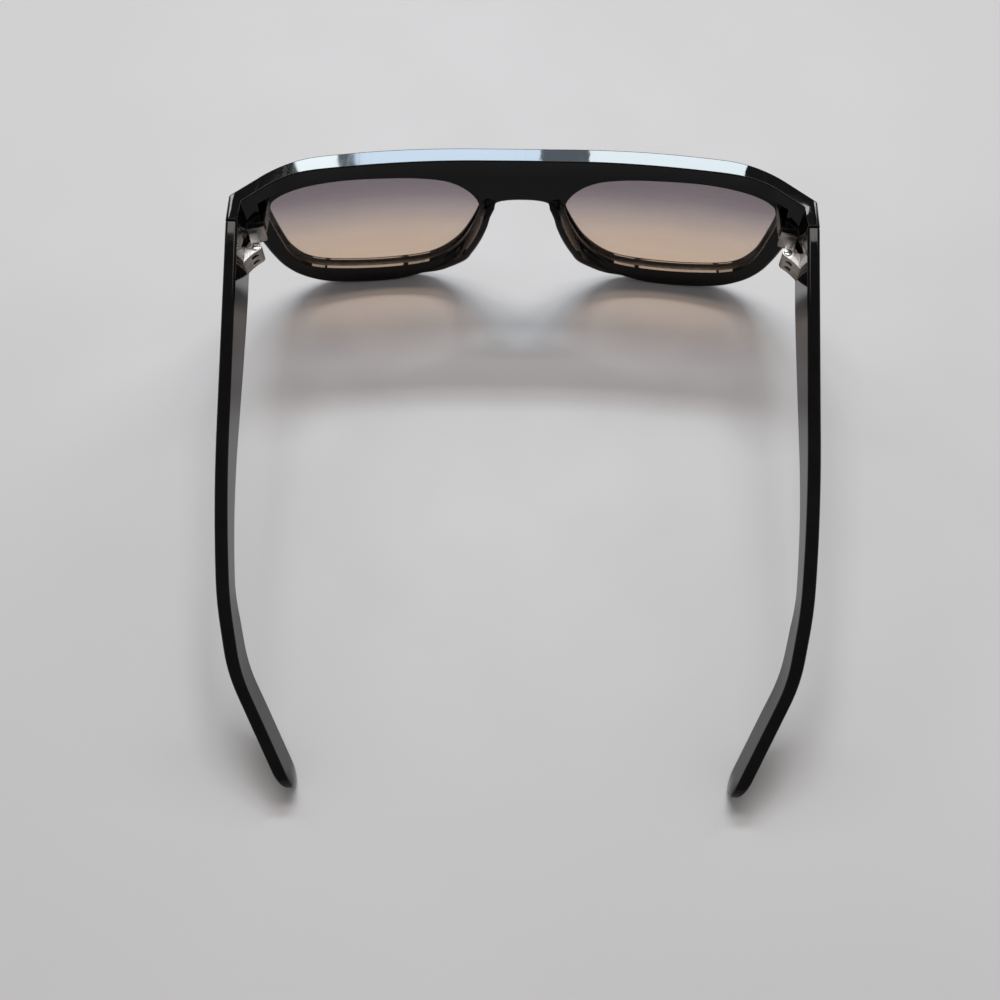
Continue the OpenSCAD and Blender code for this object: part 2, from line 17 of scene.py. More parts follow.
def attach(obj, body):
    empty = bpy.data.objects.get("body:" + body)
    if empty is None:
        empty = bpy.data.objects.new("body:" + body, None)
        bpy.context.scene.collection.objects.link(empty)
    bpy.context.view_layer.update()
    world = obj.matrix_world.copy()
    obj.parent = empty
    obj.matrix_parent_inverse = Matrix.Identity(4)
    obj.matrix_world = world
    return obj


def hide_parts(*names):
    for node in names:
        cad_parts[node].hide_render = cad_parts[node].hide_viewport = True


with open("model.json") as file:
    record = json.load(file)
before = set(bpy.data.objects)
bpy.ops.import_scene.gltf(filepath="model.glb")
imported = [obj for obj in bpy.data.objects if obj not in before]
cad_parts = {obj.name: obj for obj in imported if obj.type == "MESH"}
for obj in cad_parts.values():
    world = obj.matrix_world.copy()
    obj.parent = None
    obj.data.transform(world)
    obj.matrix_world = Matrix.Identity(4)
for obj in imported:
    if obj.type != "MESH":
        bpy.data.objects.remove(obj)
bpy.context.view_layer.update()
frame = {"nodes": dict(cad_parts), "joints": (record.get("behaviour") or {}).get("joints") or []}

# Front, in millimetres
FRONT_T = 4.1
FLAT_W = 24
WRAP_R = 270
BROW_H = 5.9
LOWER_RIM_H = 7
SIDE_RIM_W = 3.9
NASAL_RIM_W = 3.2
BRIDGE_H = 15.8
EYE_W = 55.4
EYE_H = 37.3
EYE_GAP = 22.8
LENS_T = 2
LENS_SETBACK = 1.05
GROOVE_D = 0.9
LENS_FIT = 0.05
GROOVE_WALL = 0.6

# End pieces and hinges
END_OVERHANG = 2.55
ARM_T = 3.1
BAND_T = 3.3
BEND_INSET = 23.25
BEND_R = 31
SWEEP_A = math.radians(41)
END_H = 16.6
FACET_H = 10
SEAT_MARGIN = 1.5
SEAT_BEHIND = 0.5
SEAT_A = math.radians(15)
HINGE_H = 5.2
HINGE_DROP = 9.8
PIVOT_INSET = 2.85
PIVOT_BACK = 0.5
LEAF_REACH = 5.6
LEAF_LAP = 1.25
ANCHOR_MARGIN = 0.5

# Temples
TEMPLE_LEN = 139.5
TEMPLE_T = 3.1
TEMPLE_H = 15.8
NECK_H = 7.6
TIP_H = 9.8
SHAFT_LEN = 90
PANTO_A = math.radians(9.5)
TOP_STEP = 0.3
EAR_A = math.radians(21)
EAR_R = 28
TOE_IN_A = math.radians(2.6)
CURVE_IN_A = math.radians(6)
CURVE_BEFORE = 36
CURVE_AFTER = 16
TIP_IN_A = math.radians(16.5)
TURN_START = 17
TURN_LEN = 10
TIP_FULL = 16
SEAM_GAP = 0.15

# Share of the thickness that the tip's end keeps, and of the height below which it thins to nothing
TIP_THIN = 0.45
TIP_FADE = 0.4

# Nose pads
PAD_REACH = 4.4
PAD_CREST_R = 0.95
PAD_FOOT_R = 1.45
PAD_MARGIN = 0.05
PAD_ROOT = 0.3

# Width of a pad's ends, the rise at which it is full, and the least rise that its normals allow for
PAD_NARROW = 0.42
PAD_WIDE_RISE = 0.35
PAD_LEAST_RISE = 0.1

# Rounded edges, which the solids leave sharp
BROW_EDGE_R = 0.35
RIM_EDGE_R = 1.2
EYE_FRONT_R = 0.6
EYE_BACK_R = 0.2
CORNER_R = 0.8
TEMPLE_EDGE_R = 0.8
SEAM_EDGE_R = 0.2
STEP_HALF_W = 0.22
FACET_BLEND = 0.3
SWEEP_BLEND = 1.8

# Height below the top in which the brow's edge stays crisp, and the points over which it softens
CRISP_H = 1
SOFTEN_POINTS = 9

# Least radius on a temple, and the most that a radius takes of the half width and half height
LEAST_EDGE_R = 0.02
ROUND_OF_W = 0.97
ROUND_OF_H = 0.84

# Bevels on the metal, and what counts as one point, one face and an edge there
METAL_EDGE_R = 0.09
METAL_EDGE_SEGMENTS = 2
METAL_WELD = 0.002
METAL_FLAT_A = math.radians(1)
METAL_EDGE_A = math.radians(35)

# Worked out from these
MM = 0.001
FRONT_H = LOWER_RIM_H + EYE_H + BROW_H
EYE_CX = EYE_GAP / 2 + EYE_W / 2
EYE_CZ = LOWER_RIM_H + EYE_H / 2
BRIDGE_Z = FRONT_H - BRIDGE_H
END_Z = FRONT_H - END_H
FACET_Z = FRONT_H - FACET_H
BROW_Z = FRONT_H - BROW_H + GROOVE_D + GROOVE_WALL
SIDE_X = EYE_GAP / 2 + EYE_W + SIDE_RIM_W + END_OVERHANG
WALL_X = SIDE_X - ARM_T
SOLID_X = EYE_CX + EYE_W / 2 + LENS_FIT
BEND_X = SIDE_X - BEND_INSET
INNER_R = BEND_R - BAND_T
HINGE_Z1 = FRONT_H - HINGE_DROP
HINGE_Z0 = HINGE_Z1 - HINGE_H
SEAT_Z0 = HINGE_Z0 - SEAT_MARGIN
SEAT_Z1 = HINGE_Z1 + SEAT_MARGIN
EAR_END = SHAFT_LEN + EAR_R * EAR_A
TIP_R = TIP_H / 2

# Outlines, as shares of the half width and half height of what they go round
EYE_SHAPE = [
    (-1, 0.31), (-0.93, 0.62), (-0.75, 0.85), (-0.49, 0.95), (-0.11, 0.99), (0.32, 1),
    (0.68, 0.93), (0.91, 0.77), (1, 0.5), (0.96, -0.03), (0.88, -0.5), (0.7, -0.82),
    (0.32, -0.97), (-0.11, -1), (-0.48, -0.9), (-0.74, -0.58), (-0.91, -0.13),
]
RIM_SHAPE = [
    (0.99, -0.09), (0.94, -0.31), (0.87, -0.53), (0.76, -0.72), (0.6, -0.87), (0.42, -0.95),
    (0.22, -0.99), (0.04, -1), (-0.14, -0.98), (-0.32, -0.91), (-0.49, -0.815),
    (-0.74, -0.535), (-0.83, -0.34), (-0.91, -0.105), (-0.965, 0.125), (-1, 0.31),
]

# The bridge's arch, as a share of the nose gap's half width and millimetres below the bridge
ARCH_SHAPE = [(0.76, 1), (0.42, 0.2)]

# The rim's corner under the end piece
CORNER_IN = 0.7
CORNER_DOWN = 2.5
RIM_CORNER = [(SIDE_X, END_Z), (SIDE_X - CORNER_IN, END_Z - CORNER_DOWN)]

# Point of the rim where a nose pad starts, and the pad's rise from there, as shares of its reach
PAD_FROM = 9
PAD_RISE = [0.0, 0.19, 0.69, 0.86, 1, 0.97, 0.67, 0.0]

# How finely curves are drawn, in points to a stretch or in all
EYE_STEPS = 12
RIM_STEPS = 12
CORNER_STEPS = 7
QUARTER_STEPS = 8
PAD_SIDE_STEPS = 9
PAD_CREST_STEPS = 17
PAD_FLANK_STEPS = 12
ARC = np.linspace(0, math.pi / 2, 6)
TIP_ANGLES = np.radians([8, 16, 24, 32, 40, 48, 56, 63, 70, 76, 81, 85, 88])

# How far apart points are along outlines, temples and steps, in millimetres
SLOPE_STEP = 0.02
OUTLINE_STEP = 1
LEAST_STEP = 0.03
CORNER_STEP = 0.15
STATION_STEP = 1.5
ROW_STEP = 0.6
STEP_OFFSETS = [k * STEP_HALF_W / 3 for k in range(-4, 5)]

# Grid of the front, which is finer from just before the bend and keeps clear of rows and borders
FRONT_GRID = 2
FINE_GRID = FRONT_GRID / 2.5
FINE_BEFORE_BEND = 6
ROWS_BEFORE_BEND = 4
GRID_Z = 0.5
ROW_GAP = FRONT_GRID / 4
BORDER_GAP = 0.16

# Grid of the left lens, over a rectangle that holds it
LENS_GRID = 3.0
LENS_GRID_X = (12, 68)
LENS_GRID_Z = (6, 48)
LENS_GAP = 0.8

# Distance at which the triangulation takes two points as one, and its output of triangles alone
SAME_POINT = 1e-7
TRIANGLES = 0

SIDES = {"left": 1, "right": -1}


# Blends


def ramp(s, a, b):
    """Share of the way from a to b that s has gone, from 0 to 1."""
    return min(1, max(0, (s - a) / (b - a)))


def ramp_area(s, a, b):
    """Area under a ramp from a to b, up to s."""
    if s < a:
        return 0
    if s < b:
        return (s - a) ** 2 / (2 * (b - a))
    return s - (a + b) / 2


def smooth(t):
    """Even blend from 0 to 1, level at both ends."""
    return t * t * (3 - 2 * t)


def soft_max(a, b, width):
    """The larger of two, with the crease between them rounded over width."""
    return (a + b + np.sqrt((a - b) ** 2 + width**2)) / 2


def stepped(depth):
    """Share of a step that is taken at a signed depth past its edge."""
    return smooth(np.clip((depth + STEP_HALF_W) / (2 * STEP_HALF_W), 0, 1))


def unit(vectors):
    """Rows of an array, each made one long."""
    return vectors / np.linalg.norm(vectors, axis=1, keepdims=True)


# The front's surfaces, over x and z


def plan_y(x):
    """Front of the wrapped sheet, seen from above."""
    d = np.maximum(0, np.abs(x) - FLAT_W / 2)
    return WRAP_R - np.sqrt(WRAP_R**2 - d * d)


BEND_A = math.asin((BEND_X - FLAT_W / 2) / WRAP_R)
BEND_CX = BEND_X - BEND_R * math.sin(BEND_A)
BEND_CY = float(plan_y(BEND_X)) + BEND_R * math.cos(BEND_A)


def straight_y(x):
    """Line that goes straight on where the brow starts to bend."""
    return plan_y(BEND_X) + (np.abs(x) - BEND_X) * math.tan(BEND_A)


def brow_y(r, x):
    """Line of the brow at radius r about the bend's centre: straight, round the bend, then swept back."""
    x = np.abs(x)
    x0, y0 = BEND_CX + r * math.sin(BEND_A), BEND_CY - r * math.cos(BEND_A)
    x1, y1 = BEND_CX + r * math.sin(SWEEP_A), BEND_CY - r * math.cos(SWEEP_A)
    arc = BEND_CY - np.sqrt(r * r - (np.clip(x, x0, x1) - BEND_CX) ** 2)
    before = y0 + (x - x0) * math.tan(BEND_A)
    after = y1 + (x - x1) * math.tan(SWEEP_A)
    return np.where(x < x0, before, np.where(x > x1, after, arc))


SEAT_Y = float(brow_y(INNER_R, WALL_X)) + SEAT_BEHIND
PIVOT = (WALL_X - PIVOT_INSET, SEAT_Y + LEAF_REACH, (HINGE_Z0 + HINGE_Z1) / 2)
END_DEPTH = PIVOT[1] - PIVOT_BACK
SEAT_X = PIVOT[0] - LEAF_LAP - ANCHOR_MARGIN


def sheet_y(x, z):
    """Front of the wrapped sheet, the same at every height."""
    return plan_y(x) + 0 * z


def front_y(x, z):
    """Front of the frame: the wrapped sheet, cut by the facets over the outer top corners."""
    low = straight_y(x)
    share = np.clip((z - FACET_Z) / FACET_H, 0, 1)
    return soft_max(plan_y(x), low + (brow_y(BEND_R, x) - low) * share, FACET_BLEND)


def back_y(x, z):
    """Back of the frame: the sheet, the swept band and end block, the hinge seat and the wall."""
    x = np.abs(x)
    y = plan_y(x) + FRONT_T
    swept = soft_max(brow_y(INNER_R, x), y, SWEEP_BLEND)
    in_band = np.maximum(z - BROW_Z, np.minimum(x - SOLID_X, z - END_Z))
    y = y + np.maximum(swept - y, 0) * stepped(in_band)
    seat = SEAT_Y - (WALL_X - x) * math.tan(SEAT_A)
    on_seat = np.minimum(x - SEAT_X, np.minimum(z - SEAT_Z0, SEAT_Z1 - z))
    y = y + np.maximum(seat - y, 0) * stepped(on_seat)
    return y + (END_DEPTH - y) * stepped(np.minimum(x - WALL_X, z - END_Z))


def face_normal(surface, x, z, facing):
    """Normals of a surface y(x, z), facing -1 to the front or 1 to the back."""
    e = SLOPE_STEP
    dx = (surface(x + e, z) - surface(x - e, z)) / (2 * e)
    dz = (surface(x, z + e) - surface(x, z - e)) / (2 * e)
    return unit(np.stack([-dx, np.ones_like(dx), -dz], 1) * facing)


# Outlines, as arrays of x and z


def curve_point(a, b, c, d, t):
    """A point of the smooth curve from b to c."""
    return b + t * ((c - a) / 2 + t * ((2 * a - 5 * b + 4 * c - d) / 2 + t * (3 * b - 3 * c + d - a) / 2))


def closed_curve(points, n):
    """Smooth closed curve through points, n to a stretch."""
    p = np.array(points, float)
    m = len(p)
    curve = []
    for i in range(m):
        stretch = p[i - 1], p[i], p[(i + 1) % m], p[(i + 2) % m]
        curve += [curve_point(*stretch, k / n) for k in range(n)]
    return np.array(curve)


def open_curve(points, n, after):
    """Smooth curve through points, n to a stretch, which runs on towards the point after."""
    p = np.array([points[0], *points, after], float)
    curve = [curve_point(*p[i : i + 4], k / n) for i in range(len(p) - 3) for k in range(n)]
    return np.array(curve + [p[-2]])


def outward(loop, clockwise):
    """Unit normals of a closed outline, away from what it encloses."""
    v = np.roll(loop, -1, 0) - np.roll(loop, 1, 0)
    return unit(np.stack([v[:, 1], -v[:, 0]], 1) * (-1 if clockwise else 1))


def eye_loop():
    """Lens opening of the wearer's left, clockwise from the nose."""
    points = [(EYE_CX + u * EYE_W / 2, EYE_CZ + v * EYE_H / 2) for u, v in EYE_SHAPE]
    return closed_curve(points, EYE_STEPS)


def rim_point(u, v):
    """Point of the left rim's outside, from shares of the half width and half height."""
    x = EYE_CX + u * (EYE_W / 2 + (SIDE_RIM_W if u > 0 else NASAL_RIM_W))
    return x, EYE_CZ + v * (EYE_CZ if v < 0 else EYE_H / 2)


def refined(start, end, edges):
    """Values from start to end, a step of the outline apart, with more beside each edge."""
    count = int(abs(end - start) / OUTLINE_STEP) + 1
    values = list(np.linspace(start, end, max(2, count)))
    values += [edge + offset for edge in edges for offset in STEP_OFFSETS]
    values = sorted(v for v in values if min(start, end) <= v <= max(start, end))
    kept = [values[0]]
    for v in values[1:]:
        if v - kept[-1] > LEAST_STEP:
            kept.append(v)
    return kept if start < end else kept[::-1]


def rim_line():
    """Outside of the left rim: down from the end piece, round to the nose and over to the bridge."""
    nose_x = rim_point(*RIM_SHAPE[-1])[0]
    arch = [(u * nose_x, BRIDGE_Z - v) for u, v in ARCH_SHAPE]
    points = RIM_CORNER + [rim_point(u, v) for u, v in RIM_SHAPE] + arch + [(0, BRIDGE_Z)]
    return open_curve(points, RIM_STEPS, (-arch[-1][0], arch[-1][1]))


def outer_loop():
    """Outline of the front, anticlockwise from the middle of the bridge, with both halves."""
    rim = rim_line()[::-1]
    side = [(SIDE_X, z) for z in refined(END_Z + CORNER_STEP, FRONT_H - CORNER_R, [END_Z])]
    corner = [
        (SIDE_X - CORNER_R * (1 - math.cos(a)), FRONT_H - CORNER_R * (1 - math.sin(a)))
        for a in np.linspace(0, math.pi / 2, CORNER_STEPS)[1:-1]
    ]
    top = [(x, FRONT_H) for x in refined(SIDE_X - CORNER_R, 0, [WALL_X])]
    half = np.array([*rim, *side, *corner, *top])
    return np.concatenate([half, (half * [-1, 1])[-2:0:-1]])


# Meshes


def stood():
    """Matrix from upright millimetres to the shared frame, from the left hinge axis in the frame."""
    hinge = next(j for j in frame["joints"] if j["name"] == "fold_left")
    _, lean_sin, lean_cos = hinge["axis"]
    turn = Matrix(((1, 0, 0), (0, lean_cos, lean_sin), (0, -lean_sin, lean_cos))).to_4x4()
    to_pivot = Matrix.Translation(-Vector(PIVOT))
    return Matrix.Translation(hinge["pos_m"]) @ turn @ Matrix.Scale(MM, 4) @ to_pivot


def build(name, points, faces, normals, side="left"):
    """A smooth mesh object from upright millimetres, mirrored for the right side, flat at the floor."""
    flip = np.array([SIDES[side], 1, 1])
    place = np.array(stood())
    points = np.asarray(points) * flip @ place[:3, :3].T + place[:3, 3]
    points[:, 2] = np.maximum(points[:, 2], 0)
    normals = unit(np.asarray(normals) * flip @ place[:3, :3].T)
    if side == "right":
        faces = [f[::-1] for f in faces]
    mesh = bpy.data.meshes.new(name)
    mesh.from_pydata([tuple(p) for p in points], [], faces)
    mesh.polygons.foreach_set("use_smooth", [True] * len(mesh.polygons))
    mesh.normals_split_custom_set_from_vertices([tuple(n) for n in normals])
    mesh.update()
    piece = bpy.data.objects.new(name, mesh)
    bpy.context.scene.collection.objects.link(piece)
    return piece


def facing_out(points, faces, normals):
    """Turns each face to agree with the normals of its corners."""
    points, normals = np.asarray(points), np.asarray(normals)
    out = []
    for f in faces:
        p = points[list(f)]
        n = np.cross(p[1] - p[0], p[2] - p[0])
        if len(f) == 4:
            n = n + np.cross(p[2] - p[0], p[3] - p[0])
        out.append(tuple(f) if n @ normals[list(f)].sum(0) >= 0 else tuple(f)[::-1])
    return out


def strip(first, second, n):
    """Quads between two closed rows of n points."""
    return [(first + i, first + (i + 1) % n, second + (i + 1) % n, second + i) for i in range(n)]


def inside(points, loop):
    """True for each point that is inside a closed loop."""
    x, z = points[:, 0], points[:, 1]
    result = np.zeros(len(points), bool)
    for (x0, z0), (x1, z1) in zip(loop, np.roll(loop, -1, 0)):
        if z0 != z1:
            result ^= ((z0 > z) != (z1 > z)) & (x < x0 + (z - z0) * (x1 - x0) / (z1 - z0))
    return result


def clear_of(points, loops, gap):
    """The points that are more than gap from every point of the loops."""
    border = np.concatenate(loops)
    keep = [((border - p) ** 2).sum(1).min() > gap * gap for p in points]
    return points[np.array(keep)]


def filled(outer, holes, inner_points):
    """Triangles between an outline and its holes, through inner_points, by index in that order."""
    loops = [outer, *holes]
    points = np.concatenate([*loops, inner_points])
    edges, start = [], 0
    for loop in loops:
        edges += [(start + i, start + (i + 1) % len(loop)) for i in range(len(loop))]
        start += len(loop)
    found = delaunay_2d_cdt([Vector(p) for p in points], edges, [], TRIANGLES, SAME_POINT)
    index = [origins[0] if origins else None for origins in found[3]]
    faces = [tuple(index[v] for v in f) for f in found[2]]
    faces = [f for f in faces if None not in f]
    middle = points[np.array(faces)].mean(1)
    keep = inside(middle, outer)
    for hole in holes:
        keep &= ~inside(middle, hole)
    return [f for f, k in zip(faces, keep) if k]


def grid(x_range, z_range, step):
    """Points a step apart over a rectangle."""
    return np.array([(x, z) for x in np.arange(*x_range, step) for z in np.arange(*z_range, step)])


def spread(outer, holes, rows):
    """Grid of points within the front's outline, finer in the end pieces, with rows beside steps."""
    fine_x = BEND_X - FINE_BEFORE_BEND
    coarse = grid((FRONT_GRID / 2, fine_x), (GRID_Z, FRONT_H), FRONT_GRID)
    fine = grid((fine_x, SIDE_X), (GRID_Z, FRONT_H), FINE_GRID)
    points = np.concatenate([coarse, fine])
    if len(rows):
        points = np.concatenate([clear_of(points, [rows], ROW_GAP), rows])
    points = np.concatenate([points, points * [-1, 1]])
    keep = inside(points, outer)
    for hole in holes:
        keep &= ~inside(points, hole)
    return clear_of(points[keep], [outer, *holes], BORDER_GAP)


def step_rows():
    """Rows of points beside each step in the back of the left end piece."""
    along = [
        ((BEND_X - ROWS_BEFORE_BEND, BROW_Z), (SOLID_X, BROW_Z)),
        ((SOLID_X, BROW_Z), (SOLID_X, END_Z)),
        ((SOLID_X, END_Z), (SIDE_X, END_Z)),
        ((WALL_X, END_Z), (WALL_X, FRONT_H)),
        ((SEAT_X, SEAT_Z0), (WALL_X, SEAT_Z0)),
        ((SEAT_X, SEAT_Z1), (WALL_X, SEAT_Z1)),
        ((SEAT_X, SEAT_Z0), (SEAT_X, SEAT_Z1)),
    ]
    rows = []
    for a, b in along:
        a, b = np.array(a), np.array(b)
        length = np.linalg.norm(b - a)
        across = np.array([-(b - a)[1], (b - a)[0]]) / length
        for t in np.linspace(0, 1, int(length / ROW_STEP) + 2):
            rows += [a + t * (b - a) + offset * across for offset in STEP_OFFSETS]
    return np.array(rows)


class Shell:
    """Points, normals and faces of one closed mesh, added a row at a time."""

    def __init__(self):
        self.points, self.normals, self.faces = [], [], []

    def row(self, points, normals):
        """Adds points with their normals, and gives the index of the first."""
        start = len(self.points)
        self.points += [tuple(p) for p in points]
        self.normals += [tuple(n) for n in normals]
        return start

    def built(self, name, side="left"):
        """The shell as an object, with every face turned outwards."""
        faces = facing_out(self.points, self.faces, self.normals)
        return build(name, self.points, faces, self.normals, side)


def wall_normal(normal):
    """Normals of the wall that stands on an outline, in space."""
    return np.stack([normal[:, 0], np.zeros(len(normal)), normal[:, 1]], 1)


def edge_row(shell, loop, normal, surface, facing, r, angle):
    """Row of a rounded edge: angle 0 is on the surface and a right angle is on the wall of the outline."""
    at = loop - normal * r[:, None] * (1 - math.sin(angle))
    x, z = at.T
    y = surface(x, z) - facing * r * (1 - math.cos(angle))
    n = math.cos(angle) * face_normal(surface, x, z, facing) + math.sin(angle) * wall_normal(normal)
    return shell.row(np.stack([x, y, z], 1), n)


def sheet_row(shell, loop, normal, depth):
    """Row on a wall, at a depth behind the front of the sheet."""
    x, z = loop.T
    return shell.row(np.stack([x, plan_y(x) + depth, z], 1), wall_normal(normal))


def rim_rows(shell, loop, normal, radii, grooved):
    """Rows round one outline, from the front surface over both rounded edges to the back surface."""
    rows = [edge_row(shell, loop, normal, front_y, -1, radii[0], a) for a in ARC]
    if grooved:
        near, far = LENS_SETBACK - LENS_FIT, LENS_SETBACK + LENS_T + LENS_FIT
        bottom = GROOVE_D + LENS_FIT
        for grow, depth in ((0, near), (bottom, near), (bottom, far), (0, far)):
            rows.append(sheet_row(shell, loop - normal * grow, normal, depth))
    rows += [edge_row(shell, loop, normal, back_y, 1, radii[1], a) for a in ARC[::-1]]
    for a, b in zip(rows, rows[1:]):
        shell.faces += strip(a, b, len(loop))
    return rows[0], rows[-1]


def edge_radii(outer):
    """Radius of the rounded edge at each point of the outline: crisp at the brow, softer round the rims."""
    x, z = np.abs(outer[:, 0]), outer[:, 1]
    crisp = (z > FRONT_H - CRISP_H) | ((x > EYE_CX) & (z > END_Z - CORNER_DOWN))
    r = np.where(crisp, BROW_EDGE_R, RIM_EDGE_R)
    shifts = range(-SOFTEN_POINTS, SOFTEN_POINTS + 1)
    return sum(np.roll(r, k) for k in shifts) / len(shifts)


def front_frame():
    """The whole acetate front: rims, bridge, swept brow and end pieces, with rounded edges."""
    outer = outer_loop()
    eye = eye_loop()
    eye_radii = [np.full(len(eye), r) for r in (EYE_FRONT_R, EYE_BACK_R)]
    loops = [(outer, outward(outer, False), [edge_radii(outer)] * 2, False)]
    for opening in (eye, (eye * [-1, 1])[::-1]):
        loops.append((opening, -outward(opening, True), eye_radii, True))
    shell = Shell()
    ends = [rim_rows(shell, *loop) for loop in loops]
    skins = ((front_y, -1, np.empty((0, 2))), (back_y, 1, step_rows()))
    for which, (surface, facing, rows) in enumerate(skins):
        borders = [loop - normal * radii[which][:, None] for loop, normal, radii, _ in loops]
        extra = spread(borders[0], borders[1:], rows)
        x, z = extra.T
        start = shell.row(np.stack([x, surface(x, z), z], 1), face_normal(surface, x, z, facing))
        index = [end[which] + i for end, (loop, *_) in zip(ends, loops) for i in range(len(loop))]
        index += [start + i for i in range(len(extra))]
        shell.faces += [tuple(index[v] for v in f) for f in filled(borders[0], borders[1:], extra)]
    return shell.built("acetate_front")


def lens(side):
    """Wrapped lens, a slice of the sheet that fills its groove. Its wall's faces are the last."""
    eye = eye_loop()
    out = outward(eye, True)
    loop = eye + out * GROOVE_D
    points = grid(LENS_GRID_X, LENS_GRID_Z, LENS_GRID)
    extra = clear_of(points[inside(points, loop)], [loop], LENS_GAP)
    x, z = np.concatenate([loop, extra]).T
    shell = Shell()
    for depth, facing in ((LENS_SETBACK, -1), (LENS_SETBACK + LENS_T, 1)):
        normal = face_normal(sheet_y, x, z, facing)
        start = shell.row(np.stack([x, plan_y(x) + depth, z], 1), normal)
        shell.faces += [tuple(start + v for v in f) for f in filled(loop, [], extra)]
    front = sheet_row(shell, loop, out, LENS_SETBACK)
    back = sheet_row(shell, loop, out, LENS_SETBACK + LENS_T)
    shell.faces += strip(front, back, len(loop))
    return shell.built(f"tinted_lens_{side}", side)


# Temples and nose pads, as rings of points and normals


def heading(s):
    """Downward angle of the temple's top edge at a distance s from the seam."""
    return PANTO_A + EAR_A * ramp(s, SHAFT_LEN, EAR_END)


def edge_point(s):
    """Top outer edge of the left temple."""
    shaft = min(s, SHAFT_LEN)
    bend = min(max(s - SHAFT_LEN, 0), EAR_R * EAR_A)
    rest = max(s - EAR_END, 0)
    a, h = PANTO_A, PANTO_A + bend / EAR_R
    y = shaft * math.cos(a) + EAR_R * (math.sin(h) - math.sin(a)) + rest * math.cos(h)
    drop = shaft * math.sin(a) + EAR_R * (math.cos(a) - math.cos(h)) + rest * math.sin(h)
    inward = s * math.tan(TOE_IN_A)
    inward += ramp_area(s, SHAFT_LEN - CURVE_BEFORE, SHAFT_LEN + CURVE_AFTER) * math.tan(CURVE_IN_A)
    turn = SHAFT_LEN + TURN_START
    inward += ramp_area(s, turn, turn + TURN_LEN) * math.tan(TIP_IN_A)
    return np.array([SIDE_X - inward, END_DEPTH + SEAM_GAP + y, FRONT_H - TOP_STEP - drop])


def height_at(s):
    """Height of the temple: it tapers along the shaft and swells again behind the ear."""
    taper = 1 - smooth(ramp(s, 0, SHAFT_LEN))
    swell = smooth(ramp(s, SHAFT_LEN, TEMPLE_LEN - TIP_FULL))
    return NECK_H + (TEMPLE_H - NECK_H) * taper + (TIP_H - NECK_H) * swell


def section(s, thick=1, high=1, r=TEMPLE_EDGE_R, inset=0.0):
    """Rounded rectangle across the temple at s, at shares of its thickness and height."""
    h, tilt = height_at(s), heading(s) * ramp(s, 0, TEMPLE_H)
    across = np.array([-1.0, 0, 0])
    down = np.array([0, -math.sin(tilt), -math.cos(tilt)])
    middle = edge_point(s) + across * TEMPLE_T / 2 + down * h / 2
    half_w, half_h = TEMPLE_T / 2 * thick - inset, h / 2 * high - inset
    r = max(LEAST_EDGE_R, min(r - inset, ROUND_OF_W * half_w, ROUND_OF_H * half_h))
    points, normals = [], []
    for quarter in range(4):
        u_side = 1 if quarter in (0, 3) else -1
        v_side = 1 if quarter < 2 else -1
        for t in np.linspace(quarter, quarter + 1, QUARTER_STEPS) * math.pi / 2:
            u = u_side * (half_w - r) + r * math.cos(t)
            v = v_side * (half_h - r) + r * math.sin(t)
            points.append(middle + across * u + down * v)
            normals.append(across * math.cos(t) + down * math.sin(t))
    return np.array(points), np.array(normals)


def seam_rings():
    """Rounded edge round the end of the temple that faces the end piece."""
    ahead = np.array([0.0, -1, 0])
    rings = []
    for a in ARC[:-1]:
        s, inset = SEAM_EDGE_R * (1 - math.cos(a)), SEAM_EDGE_R * (1 - math.sin(a))
        points, normals = section(s, inset=inset)
        rings.append((points, normals * math.sin(a) + ahead * math.cos(a)))
    return rings


def tip_rings():
    """Sections round the temple's tip, which thin and close."""
    rings = []
    for a in TIP_ANGLES:
        high = math.cos(a)
        thick = (TIP_THIN + (1 - TIP_THIN) * high) * min(1, high / TIP_FADE) ** 0.5
        s = TEMPLE_LEN - TIP_R + TIP_R * math.sin(a)
        rings.append(section(s, thick, high, TEMPLE_EDGE_R * thick))
    return rings


def squared(rings):
    """The rings, with their normals made square to the lines that run from ring to ring."""
    result = []
    for (points, normals), along in zip(rings, np.gradient(np.array([p for p, _ in rings]), axis=0)):
        run = unit(along)
        result.append((points, normals - run * (normals * run).sum(1, keepdims=True)))
    return result


def swept_skin(shell, rings, first_cap, last_cap):
    """Skin over rings of points and normals, closed by a fan at each end, with the caps' normals."""
    n = len(rings[0][0])
    rows = [shell.row(points, normals) for points, normals in rings]
    for a, b in zip(rows, rows[1:]):
        shell.faces += strip(a, b, n)
    for (points, _), cap in ((rings[0], first_cap), (rings[-1], last_cap)):
        row = shell.row(points, [cap] * n)
        centre = shell.row([points.mean(0)], [cap])
        shell.faces += [(row + i, row + (i + 1) % n, centre) for i in range(n)]


def temple(side):
    """Temple with rounded edges, a tapering shaft, a bent ear end and a thinned, rounded tip."""
    stations = [*np.arange(SEAM_EDGE_R, TEMPLE_LEN - TIP_R, STATION_STEP), TEMPLE_LEN - TIP_R]
    body = [section(s) for s in stations] + tip_rings()
    end = body[-1][0].mean(0) - body[-2][0].mean(0)
    shell = Shell()
    swept_skin(shell, seam_rings() + squared(body), (0, -1, 0), tuple(end / np.linalg.norm(end)))
    return shell.built(f"acetate_temple_{side}", side)


